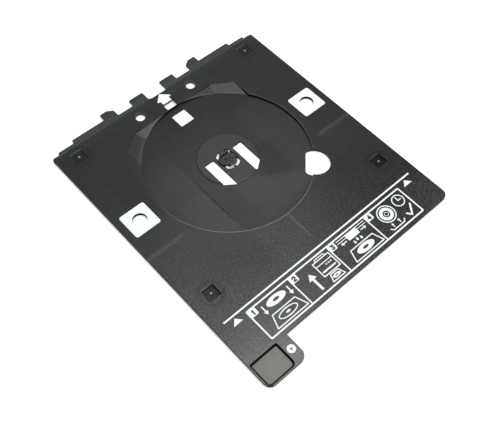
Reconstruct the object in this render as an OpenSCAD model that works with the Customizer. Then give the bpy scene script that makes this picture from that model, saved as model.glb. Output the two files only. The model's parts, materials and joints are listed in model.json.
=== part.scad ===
// Disc printing tray: a thin moulded plate that carries one 120 mm disc, label side up, through a printer.
// +Y is the way the tray is fed in, +X is to the right of it and +Z is up.
// The origin is on the disc's axis, at the level of the tray's underside.

/* [Tray plate] */
// Edge of the disc recess to each side of the plate
side_margin = 32.4; // [30:0.1:40]
// Thickness of the plate
plate_t = 2.5; // [2.4:0.1:3.5]
// Edge of the disc recess to the front edge of the plate, without its lip
front_margin = 19.4; // [19:0.1:24]
// Edge of the disc recess to the rear edge of the plate
rear_margin = 62.3; // [60:0.1:72]
// Radius of the two front corners
front_corner_r = 2.4; // [0.5:0.1:4]
// Radius of the right rear corner
rear_corner_r = 5; // [1:0.1:8]

/* [Tail] */
// Width of the tail that the user holds
tail_w = 31.6; // [30.5:0.1:40]
// Length of the tail behind the plate's rear edge
tail_l = 19.1; // [18.9:0.1:26]
// Radius of the tail's two outer corners
tail_corner_r = 5.4; // [1:0.1:8]
// Radius of the inner corner between the tail and the rear edge
tail_inner_r = 0.9; // [0.3:0.1:3]

/* [Front lip and guide tabs] */
// Thickness of the thin lip and of the tabs on it
lip_t = 1.3; // [1:0.1:1.8]
// Length of the slope from the plate's top down to the lip
bevel_l = 1.6; // [0.5:0.1:1.7]
// Side of the plate to the end of the lip
lip_inset = 6.4; // [4:0.1:9]
// Length of the lip in front of the plate
lip_l = 1.9; // [1:0.1:3]
// End of the lip to the end of its longer middle part
step_inset = 13.7; // [9:0.1:25]
// Length of the longer part of the lip
step_l = 4.8; // [3.5:0.1:6]
// Disc axis to the middle of each outer tab, sideways
outer_tab_x = 39.2; // [37:0.1:42]
// Width of each outer tab
outer_tab_w = 10.5; // [9:0.1:12]
// Length of the outer tabs in front of the plate
outer_tab_l = 10.5; // [9.5:0.1:13]
// Width of the slanted corner of each outer tab
slant_w = 4.4; // [2:0.1:5]
// Length of the slanted corner of each outer tab
slant_l = 3; // [1:0.1:4]
// Disc axis to the middle of each inner tab, sideways
inner_tab_x = 14.2; // [13.5:0.1:15]
// Width of each inner tab
inner_tab_w = 12.4; // [10:0.1:13]
// Length of the inner tabs in front of the plate
inner_tab_l = 7.7; // [6:0.1:9]
// Depth of the middle notch, measured back from the plate's front edge
notch_back = 2.3; // [1.8:0.1:2.6]
// Radius of the lip's and tabs' outer corners
tab_r = 0.9; // [0.2:0.1:1.2]
// Radius in the two corners of the middle notch
notch_r = 2.2; // [0.5:0.1:3]

/* [Disc recess] */
// Radius of the round recess that the disc lies in
recess_r = 60.5; // [60.3:0.1:61]
// Depth of the recess
recess_depth = 1.5; // [1.3:0.1:1.6]
// Radius of the raised land in the middle, on which the disc rests
land_r = 21.9; // [21.5:0.1:23]
// Height of the land above the recess floor
land_rise = 0.3; // [0.1:0.05:0.4]

/* [Finger ramps] */
// How far the outer side of each finger ramp lies inside the recess's radius
ramp_side_in = 10.5; // [8:0.1:12]
// How far the front side of the finger ramps lies inside the recess's radius
ramp_front_in = 0.5; // [0.3:0.05:1]
// Width of the corner that is cut off each ramp slantwise
ramp_cut_w = 14; // [10:0.5:17]
// Length of the corner that is cut off each ramp slantwise
ramp_cut_l = 10; // [7:0.5:12]
// Radius of the two corners at each slanting cut
ramp_corner_r = 1; // [0.3:0.1:3]
// Edge of the disc recess out to where the diagonal facet would reach the plate's top
ramp_out = 11.5; // [10:0.1:14]
// Slope of the long front facet, in degrees
ramp_slope = 6.8; // [5:0.1:8]
// Direction in which the long front facet climbs, in degrees from straight ahead
ramp_heading = 14; // [5:1:20]

/* [Finger hole] */
// Radius of the hole through which the disc is pushed up
finger_r = 11; // [9:0.1:12.5]
// Edge of the disc recess out to the centre of the finger hole
finger_out = 0.6; // [0:0.1:2]
// Direction from the disc axis to the finger hole, in degrees back from the right
finger_turn = 44.4; // [40:0.1:50]
// Centre of the finger hole to its flat side
finger_flat = 6.6; // [4:0.1:7]
// Radius of the two corners at the flat side
finger_corner_r = 2.5; // [1:0.1:3.5]

/* [Windows in the plate] */
// Side of the square window in the recess floor
window_w = 12; // [8:0.1:13]
// Edge of the disc recess in to the middle of the square window
window_in = 11; // [9:0.1:13]
// Radius of the square window's corners
window_r = 0.5; // [0.2:0.1:2]
// Disc axis to the inner side of each long slot
slot_x = 8.7; // [8.6:0.05:9.2]
// Width of each long slot
slot_w = 8.25; // [6:0.05:9]
// Disc axis to the front end of each long slot
slot_front = 5.8; // [4:0.1:8]
// How far the long slots' rear ends reach past the land
slot_past = 0.6; // [0.2:0.1:2]
// Radius of the long slots' corners
slot_r = 0.8; // [0.3:0.1:1.5]
// Width of the window behind the arrow
arrow_window_w = 9.1; // [6:0.1:10]
// Length of the window behind the arrow
arrow_window_l = 6; // [3:0.1:6.5]
// Width of the plate left between the recess and the window behind the arrow
arrow_window_rib = 0.45; // [0.4:0.05:0.6]
// Thickness of the plate at the edge of the window behind the arrow
arrow_window_t = 1.4; // [1:0.1:1.8]
// How far the thin edge reaches out in front of and beside the window behind the arrow
arrow_window_edge = 1.8; // [1:0.1:2.5]

/* [Guide holes] */
// Radius of the two round guide holes at the front
guide_r = 3.55; // [3:0.05:4.5]
// Disc axis to each guide hole, sideways
guide_x = 23.5; // [22:0.1:26]
// Edge of the disc recess forward to the guide holes
guide_out = 8.7; // [7:0.05:10]
// Width of the chamfer round the guide holes' top
guide_chamfer = 0.5; // [0.1:0.05:0.8]

/* [Position marks] */
// Side of each white square mark
mark_w = 20.2; // [17:0.1:20.6]
// Shift of each mark outward from halfway between the recess and the plate's side
mark_shift = 0.9; // [0:0.1:1.5]
// Disc axis to the middle of the marks, forward
mark_y = 0.3; // [-3:0.1:3]
// Thickness of each mark
mark_t = 0.2; // [0.1:0.05:0.3]
// Depth of the pocket that each mark lies in
mark_depth = 0.4; // [0.3:0.05:0.6]
// Gap round each mark in its pocket
mark_gap = 0.2; // [0.1:0.05:0.3]
// Radius of the marks' corners
mark_corner_r = 1.6; // [0.5:0.1:3]
// Radius of the hole through each mark and the plate below it
mark_hole_r = 5.05; // [3:0.05:6]

/* [Gate marks] */
// Side of the four shallow square gate recesses
gate_w = 9.6; // [8:0.1:11]
// Depth of the gate recesses
gate_depth = 0.35; // [0.1:0.05:0.5]
// Front edge of the plate back to the two front gate recesses
gate_front_in = 11.3; // [8:0.1:14]
// Edge of the disc recess back to the two rear gate recesses
gate_rear_out = 11.4; // [8:0.1:15]
// Radius of the pip left in each gate recess
pip_r = 0.75; // [0.4:0.05:1]
// Height of the pip
pip_h = 0.3; // [0.1:0.05:0.4]

/* [Hub] */
// Radius of the hub, which fills a 15 mm disc hole
hub_r = 7.2; // [7:0.05:7.3]
// Height of the hub's rim above the land
hub_h = 1.4; // [1.2:0.05:1.6]
// Half the width of the fixed band that crosses the hub
band_half = 3.6; // [3.2:0.1:4]
// Thickness of the plate's ledge under the hub
ledge_t = 0.5; // [0.4:0.05:0.7]
// Width of the plate's ledge under the hub
ledge_w = 1; // [0.6:0.1:1.2]
// Gap round the hub in its seat
hub_gap = 0.3; // [0.1:0.01:0.35]
// Width of the hub's raised rim
rim_w = 1.4; // [0.6:0.1:1.6]
// Height of the hub's dished middle above the land
dish_h = 0.6; // [0.4:0.05:1]
// Radius of the low boss in the middle of the hub
boss_r = 2.1; // [1:0.1:3]
// Width of the rib along the hub
rib_w = 1; // [0.6:0.1:1.6]
// Height of the boss and the rib above the hub's dished middle
rib_h = 0.4; // [0.2:0.05:0.6]

/* [Hub claws] */
// Disc axis to the outer side of each claw's upright stem
claw_reach = 5.8; // [5.6:0.05:6.2]
// Thickness of each claw's stem, from its outer side inward
claw_t = 1.8; // [1.4:0.1:1.9]
// Radius of each claw's rounded plan
claw_plan_r = 4; // [3.4:0.1:4.4]
// Height of the claws above the disc that they hold
claw_over = 0.55; // [0.4:0.05:0.8]
// How far each claw's nose stands out from its stem, over the edge of the disc's hole
nose_out = 1.95; // [1.75:0.05:2.05]
// Thickness of the disc that is held
disc_t = 1.2; // [1.1:0.05:1.3]
// Half the width of the arm that carries each claw
arm_half = 2.8; // [1.5:0.1:3]
// Thickness of the arm that carries each claw
arm_t = 0.6; // [0.4:0.05:0.8]
// Gap between the arm and the claw at the bending line
claw_gap = 0.15; // [0.1:0.01:0.25]
// Radius of the gap in the plate round the claws' tips
tip_gap_r = 8.6; // [8.4:0.05:9]
// Half the width of the gap in the plate round the claws
tip_gap_half = 6; // [5:0.1:6.1]
// Radius to which a thin tongue reaches in under each claw's nose
tongue_r = 7; // [6.8:0.05:7.6]
// Width of each tongue
tongue_w = 1.7; // [1:0.1:2.5]

/* [Thumb pad] */
// Width of the tail left beside the pad's pocket, for the small printed disc
badge_strip = 8.6; // [7.5:0.1:12]
// Gap between the plate's rear edge and the pad's pocket
pad_back = 0.1; // [0.1:0.1:4]
// Thickness of the pad
pad_t = 0.9; // [0.4:0.05:1]
// Width of the groove round the pad
pad_groove = 1.1; // [0.4:0.05:1.2]
// Depth of the pad's pocket
pad_depth = 1.8; // [1.2:0.05:2]
// Width of the tail left outside the pocket, at its side and end
pad_rim = 0.7; // [0.6:0.1:3]
// Radius of the pocket's two corners at the plate
pad_front_r = 1.4; // [0.5:0.1:3]
// Radius of the pocket's two corners at the end of the tail
pad_rear_r = 3.4; // [1:0.1:5]

/* [Printed marks] */
// Thickness of the printed ink film
ink_t = 0.06; // [0.04:0.01:0.15]
// Rear edge of the plate to the printed line that the tray is fed up to
line_in = 30.15; // [29:0.05:34]
// Side of the plate to the end of the printed line
line_inset = 7.4; // [4:0.1:18]
// Width of the printed line
line_w = 1.2; // [0.6:0.05:2]
// Side of the plate to the middle of each printed pointer
pointer_inset = 14.5; // [11:0.1:17]
// Width of each pointer
pointer_w = 7.7; // [4:0.1:9]
// Length of each pointer
pointer_l = 4.2; // [2:0.1:5]
// Gap between the printed line and each pointer
pointer_gap = 1.3; // [0.8:0.1:2]
// Distance from the middle notch back to the arrow's tip
arrow_gap = 0.5; // [0.3:0.1:1.2]
// Width across the arrow's head
arrow_w = 12; // [8:0.1:14]
// Length of the arrow's head, to the tips of its barbs
arrow_head_l = 5.6; // [4:0.1:7]
// Thickness of the barbs behind the head
barb_l = 0.9; // [0.3:0.1:2]
// Width of the arrow's shaft
arrow_shaft_w = 7.6; // [4:0.1:9]
// Clearance between the arrow's shaft and the window behind it
arrow_shaft_gap = 0.1; // [0.05:0.05:0.5]
// Side of the plate to the printed instruction frame
frame_inset = 22.3; // [20:0.1:30]
// Rear edge of the plate to the printed instruction frame
frame_in = 2.65; // [1.5:0.05:5]
// Gap between the printed line and the instruction frame
frame_gap = 2.5; // [1.5:0.1:3.5]
// Width of the frame's own line
frame_line = 1.1; // [0.6:0.05:1.6]
// Width of the lines between the four fields
field_line = 0.95; // [0.5:0.05:1.4]
// Radius of the frame's outer corners
frame_r = 1.1; // [0.3:0.1:2]
// Width of each number's white corner field
number_field_w = 5.4; // [4:0.1:7]
// Length of each number's white corner field
number_field_l = 5; // [4:0.1:6]
// Height of the numbers
number_h = 4; // [3:0.1:4.2]
// Width of the numbers
number_w = 2.9; // [2:0.1:3.2]
// Width of the strokes that the numbers are drawn with
number_stroke = 1.1; // [0.6:0.05:1.2]
// Width of the strokes that the pictures are drawn with
stroke = 0.8; // [0.4:0.05:1.1]
// Gap between each picture and the edges of its field
picture_gap = 0.9; // [0.6:0.05:2]
// Radius of the small printed disc on the tail
badge_r = 2.85; // [1.5:0.05:3.2]
// Gap between the pad's pocket and the small printed disc
badge_gap = 1.3; // [0.8:0.1:2]

/* [Hidden] */
$fn = 96;

// Steps in which a rounded corner of an outline is drawn
arc_steps = 6;
// Steps in which the round side of the finger hole is drawn
round_steps = 60;
// One overrun for every cut
over = plate_t;
charcoal = [0.23, 0.24, 0.25];
hub_grey = [0.16, 0.17, 0.18];
pad_grey = [0.40, 0.40, 0.37];
print_white = [0.95, 0.95, 0.94];

half_w = recess_r + side_margin;
plate_w = 2 * half_w;
plate_front = recess_r + front_margin;
plate_rear = recess_r + rear_margin;
tail_end = plate_rear + tail_l;
lip_half = half_w - lip_inset;
step_half = lip_half - step_inset;
lip_y = plate_front + lip_l;
step_y = plate_front + step_l;
outer_tab_y = plate_front + outer_tab_l;
inner_tab_y = plate_front + inner_tab_l;
outer_tab_out = outer_tab_x + outer_tab_w / 2;
outer_tab_in = outer_tab_x - outer_tab_w / 2;
inner_tab_out = inner_tab_x + inner_tab_w / 2;
inner_tab_in = inner_tab_x - inner_tab_w / 2;
notch_y = plate_front - notch_back;

// Size of the cuts that go right across the tray
reach = 3 * plate_w;

recess_z = plate_t - recess_depth;
land_z = recess_z + land_rise;
disc_z = land_z + disc_t;
hub_z = land_z + hub_h;
dish_z = land_z + dish_h;
claw_z = disc_z + claw_over;
seat_r = hub_r + hub_gap;
plug_r = seat_r - ledge_w;
claw_in = claw_reach - claw_t;
arm_end = claw_in - claw_gap;

ramp_x = recess_r - ramp_side_in;
ramp_y = recess_r - ramp_front_in;
finger_place = recess_r + finger_out;
window_y = recess_r - window_in;
slot_end_r = land_r + slot_past;
guide_y = recess_r + guide_out;
mark_x = recess_r + side_margin / 2 + mark_shift;
mark_pocket_w = mark_w + 2 * mark_gap;
gate_front = plate_front - gate_front_in;
gate_rear = recess_r + gate_rear_out;

arrow_window_y = recess_r + arrow_window_rib;
arrow_window_front = arrow_window_y + arrow_window_l;

pocket_w = tail_w - pad_rim - badge_strip;
pocket_l = tail_l - pad_rim - pad_back;
pocket_x = -half_w + pad_rim;
pocket_y = -tail_end + pad_rim;
pad_z = plate_t - pad_depth;

line_y = plate_rear - line_in;
line_l = plate_w - 2 * line_inset;
pointer_x = half_w - pointer_inset;
frame_w = plate_w - 2 * frame_inset;
frame_y = -line_y - line_w / 2 - frame_gap;
frame_l = plate_rear + frame_y - frame_in;
field_w = (frame_w - 2 * frame_line - 3 * field_line) / 4;
field_l = frame_l - 2 * frame_line;
// The unit that the pictures are drawn in: they reach 2.23 units sideways and 1.7 lengthways
picture_unit = min(
    ((field_w - number_field_w) / 2 - picture_gap) / 2.23,
    (field_l / 2 - picture_gap) / 1.7
);

// Unit vector along v
function unit(v) = v / norm(v);

// The vector v turned by a degrees
function turn(v, a) = [v.x * cos(a) - v.y * sin(a), v.x * sin(a) + v.y * cos(a)];

// The points of the corner b between its neighbours a and c, rounded to the radius r
function corner(a, b, c, r) =
    let (
        u = unit(a - b),
        w = unit(c - b),
        half = acos(u * w) / 2,
        middle = b + unit(u + w) * r / sin(half),
        start = b + u * r / tan(half) - middle,
        sweep = sign(u.y * w.x - u.x * w.y) * acos(-(u * w))
    )
    [for (i = [0:arc_steps]) middle + turn(start, sweep * i / arc_steps)];

// The x and y of a point that also has a corner radius
function xy(p) = [p.x, p.y];

// An outline with its corners rounded: each point is its x, its y and its corner radius
function rounded(points) =
    let (n = len(points))
    [for (i = [0:n - 1])
        each points[i].z == 0
            ? [xy(points[i])]
            : corner(xy(points[(i + n - 1) % n]), xy(points[i]), xy(points[(i + 1) % n]), points[i].z)];

// The same points on the other side of the tray, in reverse order
function mirrored(points) = [for (i = [len(points) - 1:-1:0]) [-points[i].x, points[i].y, points[i].z]];

// A rectangle from its low corner, with the radius ra on its two rear corners and rb on its two front ones
function plate_points(x, y, w, l, ra, rb) =
    [[x, y, ra], [x + w, y, ra], [x + w, y + l, rb], [x, y + l, rb]];

// A centred rectangle with rounded corners
module rounded_square(w, l, r) {
    polygon(rounded(plate_points(-w / 2, -l / 2, w, l, r, r)));
}

// The right half of the front edge, from the corner to the middle notch
front_edge = [
    [half_w, plate_front, front_corner_r],
    [lip_half, plate_front, tab_r / 2],
    [lip_half, lip_y, tab_r],
    [step_half, lip_y, tab_r],
    [step_half, step_y, tab_r],
    [outer_tab_out, step_y, tab_r / 2],
    [outer_tab_out, outer_tab_y, tab_r],
    [outer_tab_in + slant_w, outer_tab_y, 2 * tab_r],
    [outer_tab_in, outer_tab_y - slant_l, tab_r],
    [outer_tab_in, lip_y, tab_r],
    [inner_tab_out, lip_y, tab_r],
    [inner_tab_out, inner_tab_y, tab_r],
    [inner_tab_in, inner_tab_y, tab_r],
    [inner_tab_in, notch_y, notch_r]
];

plate_outline = concat(
    [
        [-half_w, -tail_end, tail_corner_r],
        [-half_w + tail_w, -tail_end, tail_corner_r],
        [-half_w + tail_w, -plate_rear, tail_inner_r],
        [half_w, -plate_rear, rear_corner_r]
    ],
    front_edge,
    mirrored(front_edge)
);

// What is cut off the top at the front: the slope and the space above the lip
module front_cut() {
    rotate([90, 0, 90])
        linear_extrude(reach, center = true)
            polygon([
                [plate_front - bevel_l, plate_t],
                [plate_front, lip_t],
                [outer_tab_y + over, lip_t],
                [outer_tab_y + over, plate_t + over],
                [plate_front - bevel_l, plate_t + over]
            ]);
}

// Everything above a plane that climbs at slope towards heading and meets the plate's top at place
module above_slope(heading, place, slope) {
    rotate([0, 0, heading])
        translate([place, 0, plate_t])
            rotate([0, -slope, 0])
                translate([-reach / 2, -reach / 2, 0])
                    cube([reach, reach, reach]);
}

// The diagonal facet falls to the recess floor at the recess's edge
ramp_diagonal_slope = atan(recess_depth / ramp_out);
// The front facet starts where the ramps' front side meets the recess
ramp_start_x = sqrt(recess_r * recess_r - ramp_y * ramp_y);
ramp_facet_heading = 90 + ramp_heading;
ramp_facet_place = ramp_start_x * cos(ramp_facet_heading) + ramp_y * sin(ramp_facet_heading);

// The finger ramp at the right front of the recess
module ramp_cut() {
    intersection() {
        translate([0, 0, recess_z])
            linear_extrude(plate_t)
                polygon(rounded([
                    [ramp_start_x, 0, 0],
                    [ramp_x, 0, 0],
                    [ramp_x, ramp_y - ramp_cut_l, ramp_corner_r],
                    [ramp_x - ramp_cut_w, ramp_y, ramp_corner_r],
                    [ramp_start_x, ramp_y, 0]
                ]));
        above_slope(45, recess_r + ramp_out, ramp_diagonal_slope);
        above_slope(ramp_facet_heading, ramp_facet_place, ramp_slope);
    }
}

// The point at the distance r and the angle a from a centre
function polar(centre, r, a) = centre + r * [cos(a), sin(a)];

// The finger hole in plan: a circle cut by a flat side, with the two corners there rounded
module finger_outline() {
    inner_r = finger_r - finger_corner_r;
    corner_x = finger_corner_r - finger_flat;
    corner_y = sqrt(inner_r * inner_r - corner_x * corner_x);
    corner_turn = atan2(corner_y, corner_x);
    corner_sweep = (180 - corner_turn) / arc_steps;
    round_sweep = 2 * corner_turn / round_steps;
    rotate(-finger_turn)
        translate([finger_place, 0])
            polygon(concat(
                [for (i = [0:round_steps])
                    polar([0, 0], finger_r, i * round_sweep - corner_turn)],
                [for (i = [1:arc_steps])
                    polar([corner_x, corner_y], finger_corner_r, corner_turn + i * corner_sweep)],
                [for (i = [0:arc_steps - 1])
                    polar([corner_x, -corner_y], finger_corner_r, 180 + i * corner_sweep)]
            ));
}

// One of the two long slots beside the hub, in plan
module slot_outline() {
    end_in = sqrt(slot_end_r * slot_end_r - slot_x * slot_x);
    slot_out = slot_x + slot_w;
    end_out = sqrt(slot_end_r * slot_end_r - slot_out * slot_out);
    polygon(rounded([
        [slot_x, -end_in, slot_r],
        [slot_out, -end_out, slot_r],
        [slot_out, slot_front, slot_r],
        [slot_x, slot_front, slot_r]
    ]));
}

// The gap in the plate round the claws, in plan
module claw_gap_outline() {
    intersection() {
        circle(tip_gap_r);
        square([2 * tip_gap_half, 2 * tip_gap_r], center = true);
    }
}

// The two tongues that the plate's ledge sends in under the claws' noses, in plan
module tongue_outline() {
    for (s = [-1, 1])
        translate([0, s * (tongue_r + tip_gap_r) / 2])
            square([tongue_w, tip_gap_r - tongue_r], center = true);
}

module mark_places() {
    for (s = [-1, 1])
        translate([s * mark_x, mark_y, 0])
            children();
}

module gate_places() {
    for (x = [-mark_x, mark_x], y = [-gate_rear, gate_front])
        translate([x, y, plate_t - gate_depth])
            children();
}

// The opening of the pad's pocket in plan, drawn in by inset on all sides
module pad_outline(inset) {
    polygon(rounded(plate_points(
        pocket_x + inset, pocket_y + inset, pocket_w - 2 * inset, pocket_l - 2 * inset,
        max(pad_rear_r - inset, inset / 2), max(pad_front_r - inset, inset / 2)
    )));
}

module tray_plate() {
    color(charcoal)
        difference() {
            union() {
                difference() {
                    linear_extrude(plate_t)
                        polygon(rounded(plate_outline));
                    front_cut();
                    translate([0, 0, recess_z])
                        cylinder(h = plate_t, r = recess_r, $fn = 360);
                    for (s = [0, 1])
                        mirror([s, 0, 0])
                            ramp_cut();
                    gate_places()
                        translate([-gate_w / 2, -gate_w / 2, 0])
                            cube([gate_w, gate_w, over]);
                }
                translate([0, 0, recess_z / 2])
                    cylinder(h = land_z - recess_z / 2, r = land_r, $fn = 180);
                gate_places()
                    translate([0, 0, -gate_depth])
                        cylinder(h = gate_depth + pip_h, r = pip_r, $fn = 24);
            }
            translate([0, 0, -over])
                linear_extrude(plate_t + 2 * over) {
                    finger_outline();
                    difference() {
                        claw_gap_outline();
                        tongue_outline();
                    }
                    for (s = [0, 1])
                        mirror([s, 0])
                            slot_outline();
                    translate([0, window_y])
                        rounded_square(window_w, window_w, window_r);
                    translate([-arrow_window_w / 2, arrow_window_y])
                        square([arrow_window_w, arrow_window_l]);
                }
            translate([-arrow_window_w / 2 - arrow_window_edge, arrow_window_y, -over])
                cube([
                    arrow_window_w + 2 * arrow_window_edge,
                    arrow_window_l + arrow_window_edge,
                    over + plate_t - arrow_window_t
                ]);
            translate([0, 0, -over])
                cylinder(h = plate_t + over, r = plug_r);
            translate([0, 0, ledge_t])
                cylinder(h = plate_t, r = seat_r);
            translate([0, 0, ledge_t])
                linear_extrude(plate_t)
                    claw_gap_outline();
            for (s = [-1, 1])
                translate([s * guide_x, guide_y, 0]) {
                    translate([0, 0, -over])
                        cylinder(h = plate_t + 2 * over, r = guide_r);
                    translate([0, 0, plate_t - guide_chamfer])
                        cylinder(h = guide_chamfer + over, r1 = guide_r, r2 = guide_r + guide_chamfer + over);
                }
            mark_places() {
                translate([0, 0, plate_t - mark_depth])
                    linear_extrude(over)
                        rounded_square(mark_pocket_w, mark_pocket_w, mark_corner_r + mark_gap);
                translate([0, 0, -over])
                    cylinder(h = plate_t + 2 * over, r = mark_hole_r);
            }
            translate([0, 0, pad_z])
                linear_extrude(plate_t)
                    pad_outline(0);
        }
}

// The fixed part of the hub: a band across it with a raised rim, and the two thin arms that carry the claws
module hub_base() {
    color(hub_grey) {
        linear_extrude(ledge_t)
            intersection() {
                circle(plug_r - hub_gap);
                square([2 * plug_r, 2 * band_half], center = true);
            }
        difference() {
            translate([0, 0, ledge_t])
                linear_extrude(hub_z - ledge_t)
                    intersection() {
                        circle(hub_r);
                        square([2 * hub_r, 2 * band_half], center = true);
                    }
            translate([0, 0, dish_z])
                cylinder(h = over, r = hub_r - rim_w);
        }
        intersection() {
            translate([0, 0, ledge_t])
                cylinder(h = dish_z + rib_h - ledge_t, r = hub_r - rim_w / 2);
            union() {
                cylinder(h = plate_t + over, r = boss_r);
                translate([-rib_w / 2, -band_half, 0])
                    cube([rib_w, 2 * band_half, plate_t + over]);
            }
        }
        translate([-arm_half, -arm_end, ledge_t])
            cube([2 * arm_half, 2 * arm_end, arm_t]);
    }
}

// The rounded plan of the front claw, from its inner side out to a distance from the disc axis
module claw_outline(out) {
    intersection() {
        translate([0, claw_reach + nose_out - claw_plan_r])
            circle(claw_plan_r);
        translate([-claw_plan_r, claw_in])
            square([2 * claw_plan_r, out - claw_in]);
    }
}

// The claw on the front side of the hub: an upright stem with a nose that holds the disc down
module claw() {
    nose_end = claw_reach + nose_out;
    color(hub_grey) {
        translate([0, 0, ledge_t])
            linear_extrude(claw_z - ledge_t)
                claw_outline(claw_reach);
        intersection() {
            linear_extrude(claw_z)
                claw_outline(nose_end);
            rotate([90, 0, 90])
                linear_extrude(2 * claw_plan_r, center = true)
                    polygon([
                        [claw_in, disc_z + claw_over / 5],
                        [nose_end, disc_z + claw_over / 5],
                        [nose_end, disc_z + claw_over / 2],
                        [claw_reach, claw_z],
                        [claw_in, claw_z]
                    ]);
        }
    }
}

module hub_claw_front() {
    claw();
}

module hub_claw_rear() {
    mirror([0, 1, 0])
        claw();
}

// A white square mark with a round hole, lying in its pocket
module position_mark(side) {
    color(print_white)
        translate([side * mark_x, mark_y, plate_t - mark_depth])
            linear_extrude(mark_t)
                difference() {
                    rounded_square(mark_w, mark_w, mark_corner_r);
                    circle(mark_hole_r + mark_gap / 2);
                }
}

module position_mark_left() {
    position_mark(-1);
}

module position_mark_right() {
    position_mark(1);
}

module thumb_pad() {
    color(pad_grey)
        translate([0, 0, pad_z])
            linear_extrude(pad_t)
                pad_outline(pad_groove);
}

// Lays a flat printed shape on the plate's top
module ink() {
    color(print_white)
        translate([0, 0, plate_t])
            linear_extrude(ink_t)
                children();
}

module feed_line() {
    ink()
        translate([0, -line_y])
            rounded_square(line_l, line_w, line_w / 4);
}

module feed_pointer(side) {
    tip = -line_y - line_w / 2 - pointer_gap;
    ink()
        translate([side * pointer_x, tip])
            polygon([[0, 0], [-pointer_w / 2, -pointer_l], [pointer_w / 2, -pointer_l]]);
}

module feed_pointer_left() {
    feed_pointer(-1);
}

module feed_pointer_right() {
    feed_pointer(1);
}

module direction_arrow() {
    tip = notch_y - arrow_gap;
    barb = tip - arrow_head_l;
    tail = arrow_window_front + arrow_shaft_gap;
    ink()
        polygon([
            [0, tip],
            [-arrow_w / 2, barb],
            [-arrow_w / 2 + barb_l / 2, barb - barb_l],
            [-arrow_shaft_w / 2, barb - barb_l],
            [-arrow_shaft_w / 2, tail],
            [arrow_shaft_w / 2, tail],
            [arrow_shaft_w / 2, barb - barb_l],
            [arrow_w / 2 - barb_l / 2, barb - barb_l],
            [arrow_w / 2, barb]
        ]);
}

// Places its children in the low left corner of a field, counted from the left
module field(number) {
    translate([
        -frame_w / 2 + frame_line + (number - 1) * (field_w + field_line),
        frame_y - frame_l + frame_line
    ])
        children();
}

module instruction_frame() {
    ink()
        difference() {
            translate([0, frame_y - frame_l / 2])
                rounded_square(frame_w, frame_l, frame_r);
            for (number = [1:4])
                field(number)
                    square([field_w, field_l]);
        }
}

// A straight stroke of the width w from a to b, with square ends
module bar(a, b, w) {
    side = turn(unit(b - a), 90) * w / 2;
    polygon([a + side, a - side, b - side, b + side]);
}

// A stroke through several points, with round joints and ends
module path(points, w) {
    for (i = [0:len(points) - 2])
        bar(points[i], points[i + 1], w);
    for (p = points)
        translate(p)
            circle(w / 2, $fn = 24);
}

// Each number is drawn through these points, as shares of its width and height
number_shares = [
    [[0.25, 0.8], [0.55, 1], [0.55, 0]],
    [[0, 0.78], [0.25, 1], [0.75, 1], [1, 0.8], [1, 0.62], [0, 0], [1, 0]],
    [[0, 1], [1, 1], [0.45, 0.58], [0.8, 0.55], [1, 0.35], [1, 0.2], [0.75, 0], [0.25, 0], [0, 0.18]],
    [[0.7, 0], [0.7, 1], [0, 0.3], [1, 0.3]]
];

// The white corner field of a step, with its number left dark
module step_number(number) {
    run_w = number_w - number_stroke;
    run_h = number_h - number_stroke;
    points = [for (p = number_shares[number - 1]) [p.x * run_w, p.y * run_h]];
    ink()
        field(number)
            translate([0, field_l - number_field_l])
                difference() {
                    polygon(rounded([
                        [0, 0, 0],
                        [number_field_w, 0, frame_r],
                        [number_field_w, number_field_l, 0],
                        [0, number_field_l, 0]
                    ]));
                    translate([(number_field_w - run_w) / 2, (number_field_l - run_h) / 2])
                        path(points, number_stroke);
                }
}

module step_number_1() {
    step_number(1);
}

module step_number_2() {
    step_number(2);
}

module step_number_3() {
    step_number(3);
}

module step_number_4() {
    step_number(4);
}

// Places a picture round the middle of its field, a little to the right of the number
module picture(number) {
    ink()
        field(number)
            translate([(field_w + number_field_w) / 2, field_l / 2])
                children();
}

// A closed outline drawn with a stroke of the width w
module outline(points, w) {
    path(concat(points, [points[0]]), w);
}

module ring(r, w) {
    difference() {
        circle(r);
        circle(r - w);
    }
}

// An ellipse with the half width a and the half height b
module oval(a, b) {
    polygon([for (i = [0:59]) [a * cos(6 * i), b * sin(6 * i)]]);
}

// A disc seen from an angle: a broad flat ring
module tilted_disc(a) {
    difference() {
        oval(a, a * 0.4);
        oval(a * 0.33, a * 0.13);
    }
}

// A straight arrow of the length l and the shaft width w that points along +X from the origin
module arrow(l, w) {
    head = 2.6 * w;
    polygon([
        [0, w / 2],
        [l - head, w / 2],
        [l - head, head * 0.7],
        [l, 0],
        [l - head, -head * 0.7],
        [l - head, -w / 2],
        [0, -w / 2]
    ]);
}

// The points of a picture, given as shares of its unit
function shares(points) = points * picture_unit;

// Step one: a disc is laid down into the tray
module step_picture_1() {
    picture(1) {
        outline(shares([[-2.15, -1.6], [2.15, -1.6], [1.6, -0.1], [-1.6, -0.1]]), stroke);
        translate(shares([0, -0.82]))
            difference() {
                oval(1.3 * picture_unit, 0.5 * picture_unit);
                oval(1.3 * picture_unit - stroke, 0.5 * picture_unit - stroke);
            }
        translate(shares([0, -0.82]))
            oval(0.3 * picture_unit, 0.12 * picture_unit);
        translate(shares([0, 1.05]))
            tilted_disc(1.3 * picture_unit);
        for (s = [-1, 1])
            translate(shares([s * 1.8, 1.4]))
                rotate(-90)
                    arrow(1.15 * picture_unit, 1.2 * stroke);
    }
}

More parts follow.
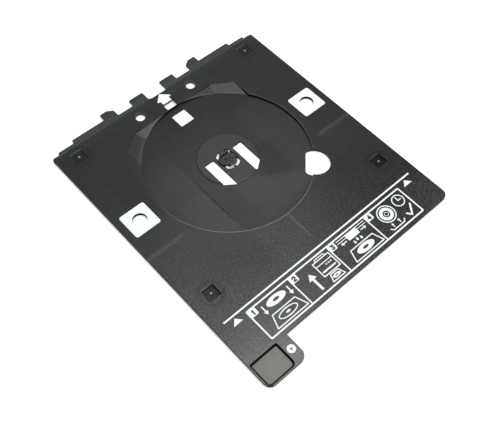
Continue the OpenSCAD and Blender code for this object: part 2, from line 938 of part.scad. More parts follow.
// Step two: the tray goes into the slot at the front of the printer
module step_picture_2() {
    picture(2) {
        outline(shares([[-0.2, -0.55], [-0.2, 1.35], [2.15, 1.35], [2.15, -0.55]]), stroke);
        path(shares([[-0.2, 0.8], [2.15, 0.8]]), 0.8 * stroke);
        path(shares([[0.2, 1.35], [0.35, 1.62], [1.6, 1.62], [1.75, 1.35]]), 0.8 * stroke);
        for (i = [0:2])
            translate(shares([1.05 + 0.32 * i, 0.45]))
                square(1.3 * stroke, center = true);
        path(shares([[0.1, -0.1], [1.85, -0.1]]), 1.5 * stroke);
        outline(shares([[0.42, -0.76], [1.54, -0.76], [1.85, -1.6], [0.11, -1.6]]), stroke);
        translate(shares([0.98, -1.18]))
            tilted_disc(0.58 * picture_unit);
        translate(shares([-1.35, -1.5]))
            rotate(90)
                arrow(2.3 * picture_unit, 2.2 * stroke);
    }
}

// Step three: the print head runs along its rail and drops ink on the disc
module step_picture_3() {
    drop_r = picture_unit / 7;
    picture(3) {
        for (y = [1.3, 1.6])
            path(shares([[-2.15, y], [2.15, y]]), stroke / 1.5);
        translate(shares([0, 1.2]))
            rounded_square(1.7 * picture_unit, 0.85 * picture_unit, stroke);
        for (i = [-1:1])
            translate(shares([0.5 * i, 0.35 - 0.14 * abs(i)])) {
                circle(drop_r);
                polygon(drop_r * [[-0.9, 0.45], [0.9, 0.45], [0, 2.4]]);
            }
        outline(shares([[-2.15, -1.6], [2.15, -1.6], [1.7, -0.2], [-1.7, -0.2]]), stroke);
        translate(shares([0, -0.88]))
            tilted_disc(1.25 * picture_unit);
        for (s = [-1, 1])
            translate(shares([s * 1.1, 0.95]))
                rotate(90 - 90 * s)
                    arrow(0.85 * picture_unit, stroke);
    }
}

// Step four: the printed disc is lifted off and left to dry
module step_picture_4() {
    picture(4) {
        translate(shares([-1.05, 0.45])) {
            ring(1.15 * picture_unit, stroke);
            ring(0.85 * picture_unit, 0.4 * picture_unit);
            ring(0.28 * picture_unit, stroke / 2);
        }
        path(shares([[-2.15, -1.25], [-1.9, -1.55], [-0.2, -1.55], [0.05, -1.25]]), stroke);
        for (s = [-1, 1])
            translate(shares([-1.05 + 0.5 * s, -1.35]))
                rotate(90)
                    arrow(0.6 * picture_unit, 0.8 * stroke);
        translate(shares([1.3, 0.8])) {
            ring(0.8 * picture_unit, stroke);
            path(shares([[0, 0.5], [0, 0], [0.4, 0]]), stroke);
        }
        path(shares([[0.75, -1], [1.15, -1.5], [2, -0.35]]), 1.6 * stroke);
    }
}

// The small disc sign on the tail
module tail_badge() {
    ink()
        translate([pocket_x + pocket_w + badge_gap + badge_r, pocket_y + pocket_l / 2])
            ring(badge_r, badge_r * 0.72);
}

tray_plate();
hub_base();
hub_claw_front();
hub_claw_rear();
position_mark_left();
position_mark_right();
thumb_pad();
feed_line();
feed_pointer_left();
feed_pointer_right();
direction_arrow();
instruction_frame();
step_number_1();
step_number_2();
step_number_3();
step_number_4();
step_picture_1();
step_picture_2();
step_picture_3();
step_picture_4();
tail_badge();
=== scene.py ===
"""Dresses the disc printing tray: plastics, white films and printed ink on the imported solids,
with the hub and the thumb pad as finely modelled pieces, on a pale floor under two soft overhead lights."""
import json
import math

import bpy
import numpy as np
from mathutils import Matrix, Vector


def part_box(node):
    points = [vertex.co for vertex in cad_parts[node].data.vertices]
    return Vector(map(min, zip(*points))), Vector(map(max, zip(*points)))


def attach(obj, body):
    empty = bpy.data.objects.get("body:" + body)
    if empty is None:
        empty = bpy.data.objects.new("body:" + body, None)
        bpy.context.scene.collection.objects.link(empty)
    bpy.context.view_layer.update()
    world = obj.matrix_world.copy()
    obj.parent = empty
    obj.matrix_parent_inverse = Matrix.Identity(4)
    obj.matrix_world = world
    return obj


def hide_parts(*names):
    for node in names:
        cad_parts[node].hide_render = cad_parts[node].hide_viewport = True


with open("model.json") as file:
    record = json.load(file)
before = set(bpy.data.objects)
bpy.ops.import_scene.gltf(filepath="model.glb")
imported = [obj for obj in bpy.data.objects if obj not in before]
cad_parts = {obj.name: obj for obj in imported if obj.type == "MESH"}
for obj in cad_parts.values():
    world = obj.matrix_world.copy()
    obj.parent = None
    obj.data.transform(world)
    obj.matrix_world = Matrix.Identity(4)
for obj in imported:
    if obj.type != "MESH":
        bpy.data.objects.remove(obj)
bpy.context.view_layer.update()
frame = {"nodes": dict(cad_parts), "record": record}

scene = bpy.context.scene
MM = 0.001

# The photograph's width and focal length in pixels, and the width of the camera's sensor in millimetres
PHOTO_WIDTH, FOCAL, SENSOR = 500, 754.13, 36
# The camera's place in millimetres, and its azimuth, elevation and roll in degrees
CAMERA_AT, CAMERA_TURN = (-209.584, -235.988, 428.226), (45.2206, 57.9795, 2.9079)

# Colour of the room's light and of the black plastic
COOL_WHITE = (0.93, 1.0, 0.985)

# The floor's half width and its level, in millimetres
FLOOR_HALF, FLOOR_Z = 2500, -0.3

# The disc recess's radius, and places, in millimetres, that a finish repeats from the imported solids
RECESS_R = 60.5
GATE_X, GATE_FRONT, GATE_REAR = 77.6, 68.6, 71.9
GUIDE_X, GUIDE_Y = 23.5, 69.2
FINGER_X, FINGER_Y = 43.65, -42.75
PAD_X, PAD_Y = -81.05, -132.05

# The thumb pad's corner radii, the width and drop of its rim, and the drop of its crown to each side
PAD_REAR_ROUND, PAD_FRONT_ROUND, PAD_RIM, PAD_EDGE, PAD_CROWN = 2.3, 0.7, 0.5, 0.4, 0.14

# The hub's middle: half its width, its rim's width, its floor's depth, the radius of the plug under it, the height
# of the ledge that it lies on and the round of its edges
HUB_BAND, HUB_RIM, HUB_DISH, HUB_PLUG, HUB_LEDGE, HUB_EDGE = 3.6, 1.4, 0.8, 6.2, 0.5, 0.22
# What stands on its floor, by the distances where each ends at its top and at its foot, with its height
HUB_RIB, HUB_BOSS, HUB_RIB_RISE = (0.4, 0.7), (1.9, 2.25), 0.4
HUB_PIT, HUB_PIT_DEPTH = (0.7, 0.95), 0.18
HUB_STUD, HUB_STUD_X, HUB_STUD_RISE = (0.9, 1.15), 3.7, 0.16
# The arms that carry the claws: half their width, their end, their top and the round of their edges
ARM_HALF, ARM_END, ARM_TOP, ARM_EDGE = 2.8, 3.85, 1.1, 0.1
# The claws: their stem's outer side, their plan's radius, the nose's height and its fall towards both ends
CLAW_STEM, CLAW_ROUND, CLAW_NOSE, CLAW_FALL = 5.8, 4.0, 2.6, 0.10

# ---------------------------------------------------------------- camera, floor and light


def look_axes(azimuth, elevation, roll):
    """Right, up and back axes of a camera that looks towards azimuth, down by elevation, turned by roll, in degrees.
    Right is level before the roll; the roll turns right and up about the view axis."""
    a, e, r = (math.radians(t) for t in (azimuth, elevation, roll))
    forward = Vector((math.cos(a) * math.cos(e), math.sin(a) * math.cos(e), -math.sin(e)))
    level = forward.cross(Vector((0, 0, 1))).normalized()
    raised = level.cross(forward)
    right = level * math.cos(r) + raised * math.sin(r)
    up = raised * math.cos(r) - level * math.sin(r)
    return right, up, -forward


def place(obj, position, axes):
    """Puts an object at a position with its x, y and z axes along the given ones."""
    obj.matrix_world = Matrix.Translation(position) @ Matrix(axes).transposed().to_4x4()


lens = bpy.data.cameras.new("studio_lens")
lens.sensor_width = SENSOR
lens.lens = FOCAL / PHOTO_WIDTH * SENSOR
lens.clip_start, lens.clip_end = 0.01, 20
camera = bpy.data.objects.new("studio_camera", lens)
scene.collection.objects.link(camera)
place(camera, Vector(CAMERA_AT) * MM, look_axes(*CAMERA_TURN))
scene.camera = camera
scene.view_settings.view_transform = "Standard"

world = bpy.data.worlds.new("studio_room")
world.use_nodes = True
world.node_tree.nodes["Background"].inputs["Color"].default_value = (*COOL_WHITE, 1)
world.node_tree.nodes["Background"].inputs["Strength"].default_value = 0.59
scene.world = world


def softbox(name, position, aim, size, watts, tint=(1, 1, 1)):
    """A square area light of the given size at position, turned to the point aim, all in metres."""
    data = bpy.data.lights.new(name, "AREA")
    data.shape, data.size, data.energy, data.color = "SQUARE", size, watts, tint
    lamp = bpy.data.objects.new(name, data)
    scene.collection.objects.link(lamp)
    back = (Vector(position) - Vector(aim)).normalized()
    side = Vector((0, 1, 0)).cross(back).normalized()
    place(lamp, Vector(position), (side, back.cross(side), back))


softbox("rear_softbox", (0.14, -0.06, 0.95), (0.14, -0.06, 0), 0.28, 3.6, (1.0, 0.995, 0.985))
softbox("front_softbox", (0.36, 0.36, 0.95), (0.36, 0.36, 0), 0.3, 1.3)

# ---------------------------------------------------------------- surfaces worked out with numpy


def add_mesh(name, points, faces, smooth=True):
    """A mesh object from arrays of points in millimetres and of faces."""
    mesh = bpy.data.meshes.new(name)
    mesh.from_pydata((np.asarray(points, float) * MM).tolist(), [], [list(map(int, f)) for f in faces])
    mesh.validate()
    mesh.polygons.foreach_set("use_smooth", np.full(len(mesh.polygons), smooth))
    mesh.update()
    obj = bpy.data.objects.new(name, mesh)
    scene.collection.objects.link(obj)
    return obj


def blend_in(value, low, high):
    """Smooth step 3t^2 - 2t^3 from 0 at low to 1 at high."""
    t = np.clip((value - low) / (high - low), 0, 1)
    return t * t * (3 - 2 * t)


def edge_drop(inside, radius):
    """How far a surface lies below its top at a distance inside its outline, for a rounded edge:
    r - sqrt(r^2 - (r - d)^2) up to the distance r, then nothing."""
    short = np.clip(radius - inside, 0, radius)
    return radius - np.sqrt(radius * radius - short * short)


def crowded(count):
    """Numbers from -1 to 1 that lie closer together near both ends: sign(t) (1 - (1 - |t|)^2)."""
    t = np.linspace(-1, 1, count)
    return np.sign(t) * (1 - (1 - np.abs(t)) ** 2)


def slab(x, y, top, bottom):
    """Points and faces of a closed solid over a grid of places: its top, its underside and the walls between."""
    rows, columns = x.shape
    upper = np.stack([x, y, top], -1).reshape(-1, 3)
    lower = np.stack([x, y, np.broadcast_to(bottom, x.shape)], -1).reshape(-1, 3)
    at = np.arange(rows * columns).reshape(rows, columns)
    quads = np.stack([at[:-1, :-1], at[1:, :-1], at[1:, 1:], at[:-1, 1:]], -1).reshape(-1, 4)
    edge = np.concatenate([at[:-1, 0], at[-1, :-1], at[:0:-1, -1], at[0, :0:-1]])
    after = np.roll(edge, -1)
    count = rows * columns
    walls = np.stack([edge, edge + count, after + count, after], -1)
    return np.concatenate([upper, lower]), np.concatenate([quads, quads[:, ::-1] + count, walls])


def tube_faces(rings, count):
    """Faces between rings of count points each, and the corners of the first ring."""
    at = np.arange(rings * count).reshape(rings, count)
    after = np.roll(at, -1, axis=1)
    quads = np.stack([at[:-1], after[:-1], after[1:], at[1:]], -1).reshape(-1, 4)
    return quads.tolist(), at[0].tolist()


def joined(name, *solids):
    """One mesh object out of several solids, each its points and faces."""
    points, faces, start = [], [], 0
    for some, corners in solids:
        points.append(some)
        faces.extend((np.asarray(corners) + start).tolist())
        start += len(some)
    return add_mesh(name, np.concatenate(points), faces)


def box_mm(node):
    """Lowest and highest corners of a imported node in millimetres."""
    low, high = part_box(node)
    return np.array(low) / MM, np.array(high) / MM


# ---------------------------------------------------------------- materials


class Signal:
    """One value in a material: Python's operators on it add Math nodes."""

    def __init__(self, finish, socket):
        self.finish, self.socket = finish, socket

    def math(self, operation, *values):
        return self.finish.node("ShaderNodeMath", {"operation": operation}, dict(enumerate(values)))

    def __add__(self, other): return self.math("ADD", self, other)
    def __radd__(self, other): return self.math("ADD", other, self)
    def __sub__(self, other): return self.math("SUBTRACT", self, other)
    def __rsub__(self, other): return self.math("SUBTRACT", other, self)
    def __mul__(self, other): return self.math("MULTIPLY", self, other)
    def __rmul__(self, other): return self.math("MULTIPLY", other, self)
    def __truediv__(self, other): return self.math("DIVIDE", self, other)
    def __rtruediv__(self, other): return self.math("DIVIDE", other, self)
    def __pow__(self, other): return self.math("POWER", self, other)
    def __abs__(self): return self.math("ABSOLUTE", self)
    def __neg__(self): return self.math("MULTIPLY", self, -1.0)


class Finish:
    """A material that is built up from its own coordinates in millimetres."""

    def __init__(self, name):
        self.material = bpy.data.materials.new(name)
        self.material.use_nodes = True
        self.tree = self.material.node_tree
        self.tree.nodes.clear()
        place_in = self.tree.nodes.new("ShaderNodeTexCoord").outputs["Object"]
        self.at = self.node("ShaderNodeVectorMath", {"operation": "SCALE"}, {0: place_in, "Scale": 1000.0})
        self.x, self.y, self.z = self.node("ShaderNodeSeparateXYZ", {}, {0: self.at}, every=True)

    def node(self, kind, settings, values, out=0, every=False):
        """Adds a node: first its settings, then its sockets' values or links. Gives one output, or every one."""
        made = self.tree.nodes.new(kind)
        for key, value in settings.items():
            setattr(made, key, value)
        for key, value in values.items():
            if isinstance(value, Signal):
                value = value.socket
            if isinstance(value, bpy.types.NodeSocket):
                self.tree.links.new(value, made.inputs[key])
            else:
                made.inputs[key].default_value = value
        signals = [Signal(self, o) for o in made.outputs]
        return signals if every else signals[out]

    def facing(self):
        """How far the surface faces up: 1 on open tops, 0 on upright walls and -1 underneath."""
        normal = self.node("ShaderNodeNewGeometry", {}, {}, out=1)
        return self.node("ShaderNodeSeparateXYZ", {}, {0: normal}, out=2)

    def noise(self, size, detail=2.0, roughness=0.5, stretch=(1, 1, 1), shift=(0, 0, 0)):
        """Noise from 0 to 1 whose lumps are about size millimetres across."""
        at = self.node("ShaderNodeMapping", {"vector_type": "POINT"},
                       {"Vector": self.at, "Scale": [s / size for s in stretch], "Location": shift})
        return self.node("ShaderNodeTexNoise", {"noise_dimensions": "3D"},
                         {"Vector": at, "Scale": 1.0, "Detail": detail, "Roughness": roughness})

    def rise(self, value, low, high, start=0.0, end=1.0):
        """Goes smoothly from start to end while value goes from low to high."""
        return self.node("ShaderNodeMapRange", {"interpolation_type": "SMOOTHSTEP"},
                         {0: value, 1: low, 2: high, 3: start, 4: end})

    def fall(self, value, low, high):
        """Goes smoothly from 1 to 0 while value goes from low to high."""
        return self.rise(value, low, high, 1.0, 0.0)

    def near(self, value, centre, half, soft):
        """1 where value lies within half of centre, fading to 0 over the further distance soft."""
        return self.fall(abs(value - centre), half, half + soft)

    def patch(self, along_x, along_y):
        """1 in a patch of the plan that is given by its centre, half width and soft edge along x and along y."""
        return self.near(self.x, *along_x) * self.near(self.y, *along_y)

    def clamp(self, value):
        """The value kept between 0 and 1."""
        return self.node("ShaderNodeClamp", {}, {0: value})

    def mix(self, share, a, b):
        """The colour a, with b over it by share."""
        return self.node("ShaderNodeMix", {"data_type": "RGBA"}, {0: share, 6: a, 7: b}, out=2)

    def tint(self, colour, strength):
        """A colour times a value."""
        return self.node("ShaderNodeVectorMath", {"operation": "SCALE"}, {0: colour, "Scale": strength})

    def bump(self, height, depth, normal=None):
        """A Bump node from a height from 0 to 1 that stands for depth millimetres."""
        values = {"Height": height, "Distance": depth * MM, "Strength": 1.0}
        if normal is not None:
            values["Normal"] = normal
        return self.node("ShaderNodeBump", {}, values)

    def round_edges(self, radius):
        """Normals as if every sharp edge were rounded to the radius in millimetres."""
        return self.node("ShaderNodeBevel", {"samples": 6}, {"Radius": radius * MM})

    def surface(self, **sockets):
        """The plastic itself: Principled sockets by name, with underscores for spaces."""
        shader = self.node("ShaderNodeBsdfPrincipled", {}, {k.replace("_", " "): v for k, v in sockets.items()})
        self.node("ShaderNodeOutputMaterial", {}, {"Surface": shader}, every=True)
        return self.material


def distance(a, b):
    """sqrt(a^2 + b^2) of two values in a material."""
    return (a * a + b * b) ** 0.5


def black_plate():
    """Charcoal plastic. One value, grey, is built up from the grain, from what moulding left on the plate, and from
    painted highlights and shade.
    A second value paints shade: it darkens the colour and takes the gloss from places that lie in their own shade,
    and from dimmed patches of the top."""
    f = Finish("charcoal_tray_plastic")
    x, y, z, side, rearward = f.x, f.y, f.z, abs(f.x), -f.y
    from_axis = distance(x, y)
    from_guide = distance(side - GUIDE_X, y - GUIDE_Y)
    from_finger = distance(x - FINGER_X, y - FINGER_Y)

    # Grain, the cloudy flow of the plastic, and painted glints of the grain that grow towards the rear left, where
    # the light's reflection falls
    grain = f.noise(0.42, 2.0, 0.6)
    coarse = f.noise(1.3, 2.0, 0.65, shift=(2, 9, 4)) - 0.5
    clouds = f.noise(34, 1.5, 0.5, stretch=(1, 0.55, 1), shift=(3.1, 0.7, 0.2)) - 0.5
    streaks = f.noise(9, 2.0, 0.55, stretch=(1, 0.12, 1), shift=(0.4, 8.2, 0.5)) - 0.5
    wander = 2.4 * (f.noise(17, 2.0, 0.6, shift=(1, 1, 7)) - 0.5)
    painted_glint = (f.noise(0.9, 1.5, 0.6, shift=(7, 3, 1)) - 0.5) * f.rise(rearward - 0.25 * x, 10, 120)
    grey = 0.0105 + 0.0085 * f.rise(grain, 0.5, 0.75) + 0.013 * coarse + 0.012 * clouds
    grey = grey + 0.003 * streaks + 0.32 * painted_glint

    # Painted shade on upright walls: dark inside the tray, half as dark on the left and rear edges, not darkened in
    # the round holes, and dark in the groove round the thumb pad
    upright = f.rise(abs(f.facing()), 0.80, 0.35)
    inner = f.patch((0, 91.5, 0.3), (-12, 88.3, 0.3))
    outer = f.clamp(f.rise(x, -92.6, -92.8) + f.rise(y, -122.5, -122.7))
    by_hole = f.clamp(f.near(from_finger, 0, 12, 0.3) + f.near(from_guide, 0, 4.3, 0.1))
    pad_groove_shade = f.patch((PAD_X, 11.2, 0.05), (PAD_Y, 9.3, 0.05)) * f.fall(z, 2.35, 2.45)
    dull_and_shade = 0.85 * upright * inner * (1.0 - by_hole) + 0.5 * upright * outer + 0.96 * pad_groove_shade

    # Gate recesses: painted highlights on the pip and along the front and rear edges, painted shade over the recess
    # and on its right and front walls, and a darker ring round them
    gate_y = f.near(y, GATE_FRONT, 20, 0.1) * (GATE_FRONT + GATE_REAR) - GATE_REAR
    u, v = side - GATE_X, y - gate_y
    from_gate = distance(u, v)
    gate = f.near(u, 0, 4.72, 0.1) * f.near(v, 0, 4.72, 0.1)
    pip = f.near(from_gate, 0, 0.8, 0.1)
    rear_edge_highlight = f.near(v, -5.0, 0.15, 0.15) * f.rise(rearward, 0, 20, 0.0, 0.4)
    gate_edge_highlight = (f.near(v, 4.85, 0.22, 0.15) + rear_edge_highlight) * f.near(u, 0, 4.6, 0.3)
    gate_shade = gate * f.clamp(f.near(abs(x - 4.5), GATE_X, 0.3, 0.2) + f.near(v, 4.4, 0.2, 0.2))
    halo = f.near(from_gate, 8.1, 0.5, 1.3)
    grey = grey + 0.32 * gate * pip + 0.13 * gate_edge_highlight - 0.004 * halo
    dull_and_shade = dull_and_shade + gate * (1.0 - pip) * f.rise(y, 0, 20, 0.38, 0.36) + 0.12 * halo
    dull_and_shade = dull_and_shade + gate_shade * f.rise(y, 0, 20, 0.5, 0.15)

    # The disc's recess: paler beside its rails and where the flow fanned out, with a darker line by the left rail, a
    # painted highlight along its rim and painted shade at the foot of its rear wall
    in_recess = f.fall(from_axis, RECESS_R - 0.2, RECESS_R) * f.fall(z, 1.35, 1.45)
    left_rail = f.fall(x, -31.4, -30.2) * f.rise(y, 42, 5)
    right_rail = f.rise(x, 29.6, 30.4) * f.near(y, -5, 30, 12)
    rail_line = f.patch((-30.6, 0.4, 0.5), (-20, 11, 14)) * in_recess
    rear_left = f.patch((-41, 9, 4), (-30, 14, 12))
    fan = f.rise(y + 25.0 + 0.6 * (x - 5.0) + wander, 1.0, -1.0) * f.rise(x, -16, -8) * f.near(y, -36, 12, 12)
    to_rear = f.rise((0.91 * rearward - 0.42 * x) / RECESS_R, 0.2, 0.95)
    rim_light = f.clamp(to_rear + 0.45 * f.rise(x, 30, 52))
    rim_highlight = f.near(from_axis, RECESS_R + 0.25, 0.35, 0.25) * f.rise(z, 2.3, 2.45) * rim_light
    rim_shade = f.near(from_axis, RECESS_R - 0.5, 0.3, 0.5) * in_recess * to_rear
    grey = grey + 0.12 * rim_highlight

    # The low land round the hub, with a painted highlight along its edge and painted shade at its foot
    land = f.fall(from_axis, 21.8, 21.95) * f.rise(z, 1.1, 1.2)
    land_edge_highlight = f.near(from_axis, 21.5, 0.25, 0.3) * land * f.rise(x + y, -20, 15, 0.3, 1.0)
    land_shade = f.near(from_axis, 22.3, 0.2, 0.4) * in_recess * f.rise(y, -22, -6)
    grey = grey + 0.018 * land + 0.014 * land_edge_highlight
    grey = grey + in_recess * (0.012 * left_rail + 0.0084 * right_rail + 0.014 * fan + 0.014 * rear_left
                               + 0.03 * coarse - 0.007 * rail_line - 0.006 * land_shade - 0.010 * rim_shade - 0.006)
    dull_and_shade = dull_and_shade + 0.2 * (rail_line + land_shade + rim_shade)

    # Weld lines beside the recess and a seam behind it, where the flows of the plastic met
    beside = f.rise(side, 58, 66)
    weld = f.near(y + wander, -27.5, 0.3, 2.2) * beside
    below_weld = f.rise(y + wander, -26, -31) * beside * f.rise(y, -70, -40)
    seam = f.patch((-0.8, 0.3, 1.0), (-70, 9, 9)) * f.rise(from_axis, 61, 62)
    left_of_seam = f.rise(x, 4, -3) * f.near(y, -74, 14, 6)
    grey = grey + 0.036 * weld + 0.005 * below_weld + 0.05 * seam + 0.008 * left_of_seam

    # The paler lip, the line where it starts, and a painted shine on the lit chamfer round the guide holes, on the
    # left one's far side only
    lip = f.rise(y, 78.1, 78.7) * f.rise(y, 83.4, 84.6, 1.0, 0.58)
    lip_line = f.near(y, 78.4, 0.35, 0.3)
    hole_shine = f.near(from_guide, 3.9, 0.3, 0.3) * f.rise(x + y, 45, 47)
    grey = grey + 0.029 * lip + 0.038 * lip_line + 0.008 * f.rise(y, 68, 76) + 0.045 * hole_shine

    # Finger ramps: mottled, with a painted highlight along the disc's edge and the right ramp's outer wall; the left
    # ramp given painted shade up to its slanting border, with a faint painted highlight by the recess there, and
    # painted lighter past it
    past_disc = f.rise(from_axis, RECESS_R, RECESS_R + 0.1)
    on_ramp = past_disc * f.patch((0, 50.2, 0.1), (45, 15.2, 0.1)) * f.fall(z, 2.4, 2.5)
    mottle = f.noise(1.7, 2.0, 0.6, shift=(3, 1, 2)) - 0.5
    border = x + 0.375 * (y - 60.0)
    shaded_left_facet = on_ramp * f.fall(border, -36.4, -35.6)
    lit_left_facet = on_ramp * f.rise(border, -36.4, -35.6) * f.fall(x, -34, -8)
    ramp_edge_highlight = on_ramp * f.clamp(f.near(from_axis, 61.2, 0.45, 0.35) + f.near(x, 49.1, 0.3, 0.3))
    grey = grey + 0.034 * lit_left_facet + 0.03 * ramp_edge_highlight + 0.03 * mottle * on_ramp
    grey = grey + shaded_left_facet * (0.002 + 0.010 * f.near(from_axis, 62.0, 0.8, 2.0))
    dull_and_shade = dull_and_shade + 0.2 * shaded_left_facet

    # Painted highlight, not wear: the rear left corner is painted pale where the light's reflection is strongest, and
    # the tail and the rear right corner a little
    rubbed = f.rise(rearward, 85, 140) * f.rise(x, -30, -85)
    grey = grey + 0.070 * rubbed + 0.03 * f.rise(rearward, 118, 126)
    grey = grey + 0.024 * f.rise(x, 60, 85) * f.rise(rearward, 85, 112)

    # Painted shade: patches of the top where colour and gloss are cut to dim the light's reflection
    painted_dimming = 0.10 * f.near(from_axis, 60, 20, 30) * f.rise(rearward - x, 20, 70)
    painted_dimming = painted_dimming + in_recess * (0.05 + 0.10 * f.patch((24, 8, 8), (-20, 10, 10)))
    painted_dimming = painted_dimming + 0.17 * f.rise(x, 10, 60) * f.rise(y, 58, 20) * (1.0 - in_recess)
    painted_dimming = painted_dimming + 0.13 * f.patch((-68, 7, 6), (20, 18, 14)) * f.rise(from_axis, 60.8, 61.2)
    painted_dimming = painted_dimming + 0.08 * f.rise(x, 0, 30) * f.near(y, -75, 18, 12)
    painted_dimming = painted_dimming + 0.10 * f.patch((-55, 18, 15), (-78, 12, 15))
    dull_and_shade = f.clamp(dull_and_shade + painted_dimming)

    colour = f.tint(COOL_WHITE, f.clamp(0.84 * grey * (1.0 - 0.8 * dull_and_shade)))
    rough = f.clamp(0.28 + 0.08 * clouds + 0.06 * coarse + 0.45 * dull_and_shade + 0.25 * painted_glint)
    relief = f.bump(grain, 0.05, f.round_edges(0.22))
    return f.surface(Base_Color=colour, Roughness=rough, Metallic=dull_and_shade, Normal=relief, IOR=1.43)


def hub_plastic():
    """Satin black plastic, broken by dark scratches and paler rubs."""
    f = Finish("satin_hub_plastic")
    mottle = f.noise(1.5, 2.0, 0.6, shift=(1.2, 0.4, 0.1))
    scratch = f.near(f.noise(3.2, 2.0, 0.55, shift=(5, 2, 0)), 0.5, 0.015, 0.03)
    fine = f.noise(0.2, 1.0)
    # Painted shade: upright walls are darkened and lose their gloss, along with the dark scratches and the mottle
    upright = f.rise(abs(f.facing()), 0.80, 0.35)
    dull_and_shade = f.clamp(0.8 * upright + 0.35 * scratch + 0.24 * f.rise(mottle, 0.55, 0.35))
    colour = f.mix(f.rise(mottle, 0.42, 0.66), (0.020, 0.021, 0.021, 1), (0.078, 0.081, 0.079, 1))
    colour = f.tint(colour, 1.0 - 0.8 * dull_and_shade)
    return f.surface(Base_Color=colour, Roughness=0.36 + 0.2 * mottle + 0.3 * dull_and_shade, Metallic=dull_and_shade,
                     Normal=f.bump(fine, 0.012, f.round_edges(0.12)), IOR=1.45)


def white_film():
    """Matt white film with a faint fibre-like unevenness."""
    f = Finish("white_mark_film")
    uneven = f.noise(3.0, 2.0, 0.5)
    fine = f.noise(0.15, 1.0)
    colour = f.mix(f.rise(uneven, 0.3, 0.7), (0.95, 0.95, 0.95, 1), (0.98, 0.98, 0.98, 1))
    return f.surface(Base_Color=colour, Roughness=0.45 + 0.1 * uneven, Normal=f.bump(fine, 0.006))


def pad_plastic():
    """Smooth grey plastic with an olive cast, lightly rubbed in the middle."""
    f = Finish("rubbed_pad_plastic")
    worn = f.noise(5.0, 2.0, 0.5, stretch=(1, 0.6, 1))
    grain = f.noise(0.3, 1.5)
    colour = f.mix(f.rise(worn, 0.3, 0.7), (0.150, 0.151, 0.137, 1), (0.176, 0.178, 0.161, 1))
    return f.surface(Base_Color=colour, Roughness=0.46 + 0.10 * worn, Normal=f.bump(grain, 0.012, f.round_edges(0.2)))


def white_ink():
    """White screen-printed ink: even, with pinholes and the plate's grain showing through."""
    f = Finish("white_printed_ink")
    grain = f.noise(0.42, 2.0, 0.6)
    holes = f.rise(f.noise(0.9, 2.0, 0.6, shift=(4, 4, 4)), 0.25, 0.34)
    colour = f.mix(holes, (0.60, 0.60, 0.60, 1), (0.97, 0.97, 0.97, 1))
    return f.surface(Base_Color=colour, Roughness=0.55 + 0.1 * grain, Normal=f.bump(grain, 0.02))


finishes = {"plate_plastic": black_plate(), "hub_plastic": hub_plastic(), "mark_film": white_film(),
            "pad_plastic": pad_plastic(), "printed_ink": white_ink()}
for part in frame["record"]["subparts"]:
    mesh = frame["nodes"][part["node"]].data
    mesh.materials.clear()
    mesh.materials.append(finishes[part["material_slot"]])


# ---------------------------------------------------------------- finely modelled pieces


def pad_cushion():
    """The thumb pad: a rounded rectangle whose top is crowned by a parabola each way and falls off round its rim.
    Its outline is drawn in ring by ring, equally far along x and y up to the rim's width and in proportion after."""
    low, high = box_mm("thumb_pad")
    centre, half = (low + high) / 2, (high - low) / 2
    turn = np.linspace(0, 2 * np.pi, 241)[:-1]
    corner = np.where(np.sin(turn) < 0, PAD_REAR_ROUND, PAD_FRONT_ROUND)
    core = half[:2] - corner[:, None]
    away = np.stack([np.cos(turn), np.sin(turn)], -1)
    outline = np.sign(away) * core + away * corner[:, None]
    inset = np.concatenate([np.linspace(0, PAD_RIM, 11), np.linspace(PAD_RIM, half[1], 26)[1:]])
    points = []
    for deep in inset:
        if deep <= PAD_RIM:
            shrink = 1 - deep / half[:2]
        else:
            shrink = (1 - min(deep / half[1], 1)) * (1 - PAD_RIM / half[:2]) / (1 - PAD_RIM / half[1])
        flat = outline * shrink
        crown = PAD_CROWN * ((flat[:, 0] / half[0]) ** 2 + (flat[:, 1] / half[1]) ** 2)
        z = high[2] - crown - edge_drop(deep, PAD_EDGE)
        points.append(np.column_stack([flat + centre[:2], z]))
    base = points[0].copy()
    base[:, 2] = low[2]
    rings = np.stack([base, *points])
    quads, rim = tube_faces(*rings.shape[:2])
    piece = add_mesh("thumb_grip_pad", rings.reshape(-1, 3), quads + [rim[::-1]])
    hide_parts("thumb_pad")
    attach(piece, "tray")
    piece.data.materials.append(finishes["pad_plastic"])


def hub_middle():
    """The hub's fixed band: a raised rim round a dished floor with a boss and a rib, over the ledge in its seat.
    Each row of the grid runs across the hub's circle, so x = t sqrt(R^2 - y^2), and every outer edge is rounded."""
    low, high = box_mm("hub_base")
    radius, half = high[0], HUB_BAND
    across, along = np.meshgrid(crowded(141), half * crowded(81), indexing="ij")
    x, y = across * np.sqrt(radius ** 2 - along ** 2), along
    r = np.hypot(x, y)
    floor = high[2] - HUB_DISH
    rim = blend_in(r, radius - HUB_RIM - 0.3, radius - HUB_RIM + 0.1)
    ridge = np.maximum(1 - blend_in(np.abs(x), *HUB_RIB), 1 - blend_in(r, *HUB_BOSS))
    pit = 1 - blend_in(r, *HUB_PIT)
    studs = 1 - blend_in(np.hypot(np.abs(x) - HUB_STUD_X, y), *HUB_STUD)
    top = np.maximum(floor + HUB_DISH * rim, floor + HUB_RIB_RISE * ridge - HUB_PIT_DEPTH * pit)
    top = np.maximum(top, floor + HUB_STUD_RISE * studs)
    top = top - edge_drop(np.minimum(radius - r, half - np.abs(y)), HUB_EDGE)
    under = HUB_LEDGE * blend_in(r, HUB_PLUG - 0.05, HUB_PLUG + 0.05)
    solids = [slab(x, y, top, under)]
    for side in (-1, 1):
        u, v = np.meshgrid(ARM_HALF * crowded(21), np.linspace(half - 0.3, ARM_END, 13), indexing="ij")
        sheet = ARM_TOP - edge_drop(np.minimum(ARM_HALF - np.abs(u), ARM_END - v + 0.02), ARM_EDGE)
        points, faces = slab(u, v, sheet, HUB_LEDGE)
        solids.append((points * [side, side, 1], faces))
    piece = joined("hub_middle", *solids)
    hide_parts("hub_base")
    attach(piece, "tray")
    piece.data.materials.append(finishes["hub_plastic"])


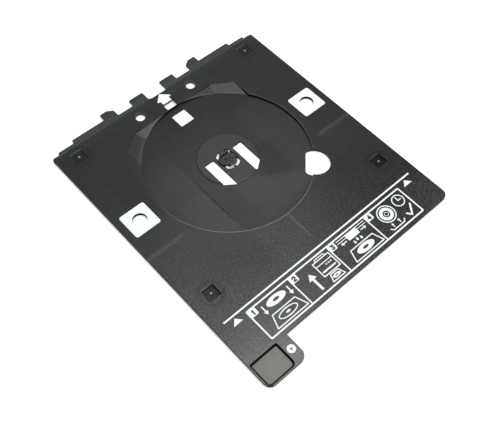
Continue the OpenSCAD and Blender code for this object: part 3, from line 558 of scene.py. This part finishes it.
def hub_finger(name, node, body, side):
    """A hub claw: sections across x are lofted from one end to the other. The nose's plan is the circle
    y = c + sqrt(R^2 - x^2), the stem below it ends at its own outer side, and the nose slopes up to a low crown.
    Each corner of the section is its y, its z and how much of the nose's fall towards both ends it takes."""
    low, high = box_mm(node)
    tip, inner, top = max(abs(low[1]), abs(high[1])), min(abs(low[1]), abs(high[1])), high[2]
    x = 0.995 * math.sqrt(CLAW_ROUND ** 2 - (inner - tip + CLAW_ROUND) ** 2) * crowded(81)
    out = tip - CLAW_ROUND + np.sqrt(CLAW_ROUND ** 2 - x ** 2)
    stem = np.minimum(CLAW_STEM, out - 0.02)
    fall = CLAW_FALL * (x / x.max()) ** 2
    nose = CLAW_NOSE
    profile = [(inner + 0.06, low[2], 0), (stem - 0.08, low[2], 0), (stem, low[2] + 0.08, 0), (stem, nose - 0.10, 0),
               (stem + 0.05, nose, 0), (out - 0.06, nose + 0.01, 0), (out, nose + 0.05, 0),
               (out - 0.02, nose + 0.13, 0.2), (out - 0.12, nose + 0.18, 0.5), (stem + 0.12, top - 0.03, 1),
               (stem - 0.08, top, 1), (inner + 0.25, top, 1), (inner + 0.06, top - 0.07, 1), (inner, top - 0.24, 1),
               (inner, low[2] + 0.06, 0)]
    corners = [np.column_stack([x, np.minimum(y, out) * side, np.broadcast_to(z, x.shape) - share * fall])
               for y, z, share in profile]
    sections = np.stack(corners, 1)
    quads, first = tube_faces(*sections.shape[:2])
    last = [corner + (len(x) - 1) * len(profile) for corner in first]
    faces = quads + [first[::-1], last]
    if side > 0:
        faces = [face[::-1] for face in faces]
    piece = add_mesh(name, sections.reshape(-1, 3), faces)
    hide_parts(node)
    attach(piece, body)
    piece.data.materials.append(finishes["hub_plastic"])


pad_cushion()
hub_middle()
hub_finger("hub_finger_front", "hub_claw_front", "front_claw", 1)
hub_finger("hub_finger_rear", "hub_claw_rear", "rear_claw", -1)


def pale_floor():
    """The pale sheet that the tray lies on, just under the tray. It gives off a little light of its own."""
    f = Finish("pale_studio_floor")
    tone = f.noise(400, 1.0)
    corners = [(x * FLOOR_HALF, y * FLOOR_HALF, FLOOR_Z) for x, y in ((-1, -1), (1, -1), (1, 1), (-1, 1))]
    floor = add_mesh("studio_floor", corners, [(0, 1, 2, 3)], smooth=False)
    floor.visible_glossy = False
    floor.data.materials.append(f.surface(Base_Color=f.mix(tone, (0.93, 0.93, 0.93, 1), (0.96, 0.96, 0.96, 1)),
                                          Roughness=0.9 + 0.05 * tone,
                                          Emission_Color=(1, 1, 1, 1), Emission_Strength=0.32))


pale_floor()
